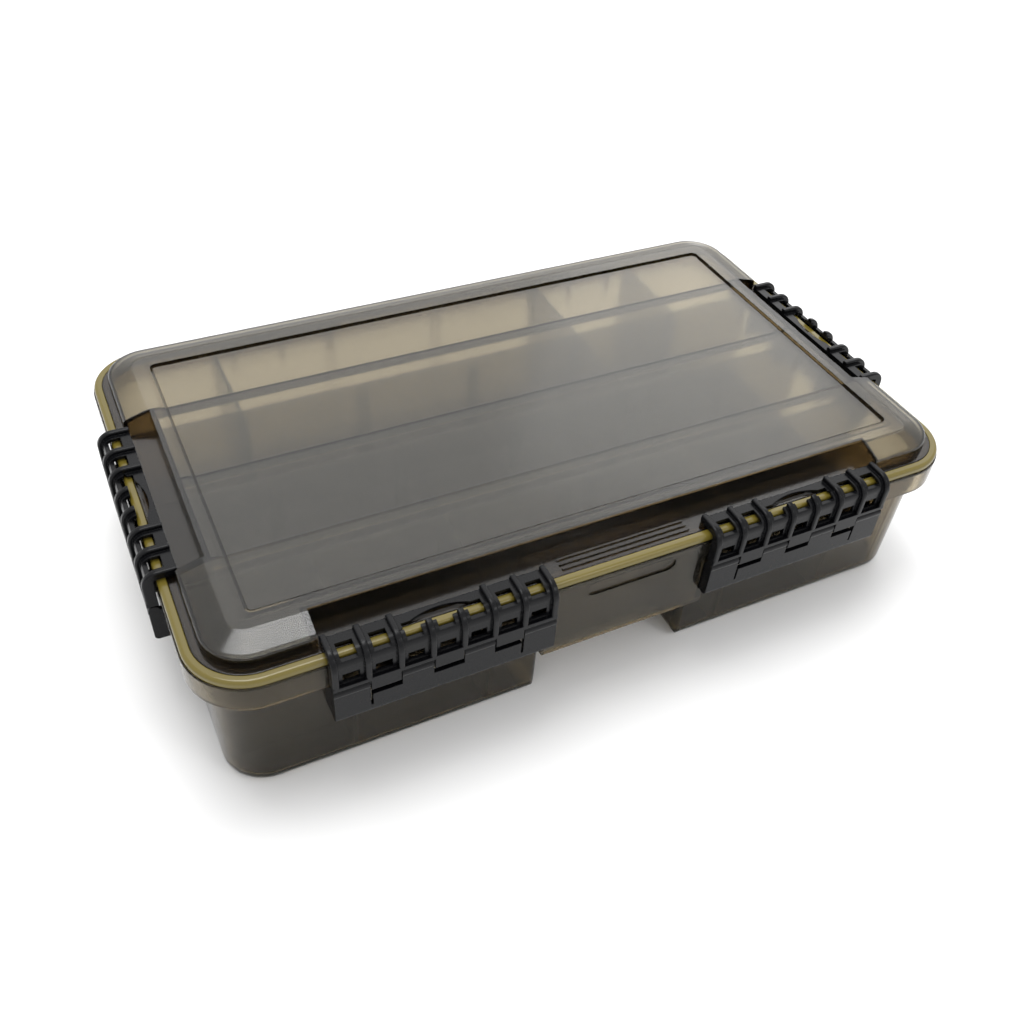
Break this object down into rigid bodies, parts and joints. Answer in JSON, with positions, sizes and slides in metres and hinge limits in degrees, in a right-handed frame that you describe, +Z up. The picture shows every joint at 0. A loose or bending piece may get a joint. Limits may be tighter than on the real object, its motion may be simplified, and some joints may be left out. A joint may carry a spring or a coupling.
{
  "type": "tackle box",
  "caption": "Low translucent smoke-tinted tackle box: hinged lid with a bead seal, ribbed black snap latches on the front and ends, a recessed hand grip and lift-out dividers.",
  "frame": {"origin": "on the ground under the middle of the box", "axes": "+X to the right along the length, -Y to the front with the grip, +Z up"},
  "size_m": [0.354, 0.22, 0.08],
  "materials": {
    "smoke_tub": "translucent smoke-tinted moulding, slightly hazy",
    "smoke_lid": "translucent smoke-tinted moulding, finely frosted top",
    "khaki_seal": "soft khaki seal, matte",
    "black_latch": "black moulded plastic, fine satin texture",
    "steel_pin": "drawn steel wire",
    "smoke_divider": "translucent smoke-tinted sheet"
  },
  "bodies": {
    "base": {"base_tub": "smoke_tub", "latch_bracket_front_left": "black_latch", "latch_bracket_front_right": "black_latch", "latch_bracket_side_left": "black_latch", "latch_bracket_side_right": "black_latch", "latch_pin_front_left": "steel_pin", "latch_pin_front_right": "steel_pin", "latch_pin_side_left": "steel_pin", "latch_pin_side_right": "steel_pin", "hinge_pin_left": "steel_pin", "hinge_pin_right": "steel_pin", "long_divider_front": "smoke_divider", "long_divider_middle": "smoke_divider", "long_divider_rear": "smoke_divider", "cross_divider_1": "smoke_divider", "cross_divider_2": "smoke_divider", "cross_divider_3": "smoke_divider", "cross_divider_4": "smoke_divider", "cross_divider_5": "smoke_divider", "cross_divider_6": "smoke_divider", "cross_divider_7": "smoke_divider", "cross_divider_8": "smoke_divider", "cross_divider_9": "smoke_divider"},
    "lid": {"lid": "smoke_lid", "seal_ring": "khaki_seal"},
    "hook_front_left": {"latch_hook_front_left": "black_latch"},
    "hook_front_right": {"latch_hook_front_right": "black_latch"},
    "hook_side_left": {"latch_hook_side_left": "black_latch"},
    "hook_side_right": {"latch_hook_side_right": "black_latch"}
  },
  "joints": [
    {"name": "lid_hinge", "type": "hinge", "parent": "base", "child": "lid", "pos_m": [0, 0.1077, 0.062], "axis": [-1, 0, 0], "range_deg": [0, 110]},
    {"name": "latch_front_left_hinge", "type": "hinge", "parent": "base", "child": "hook_front_left", "pos_m": [-0.081, -0.1077, 0.0565], "axis": [1, 0, 0], "range_deg": [0, 100]},
    {"name": "latch_front_right_hinge", "type": "hinge", "parent": "base", "child": "hook_front_right", "pos_m": [0.081, -0.1077, 0.0565], "axis": [1, 0, 0], "range_deg": [0, 100]},
    {"name": "latch_side_left_hinge", "type": "hinge", "parent": "base", "child": "hook_side_left", "pos_m": [-0.1747, 0, 0.0565], "axis": [0, -1, 0], "range_deg": [0, 100]},
    {"name": "latch_side_right_hinge", "type": "hinge", "parent": "base", "child": "hook_side_right", "pos_m": [0.1747, 0, 0.0565], "axis": [0, 1, 0], "range_deg": [0, 100]}
  ]
}
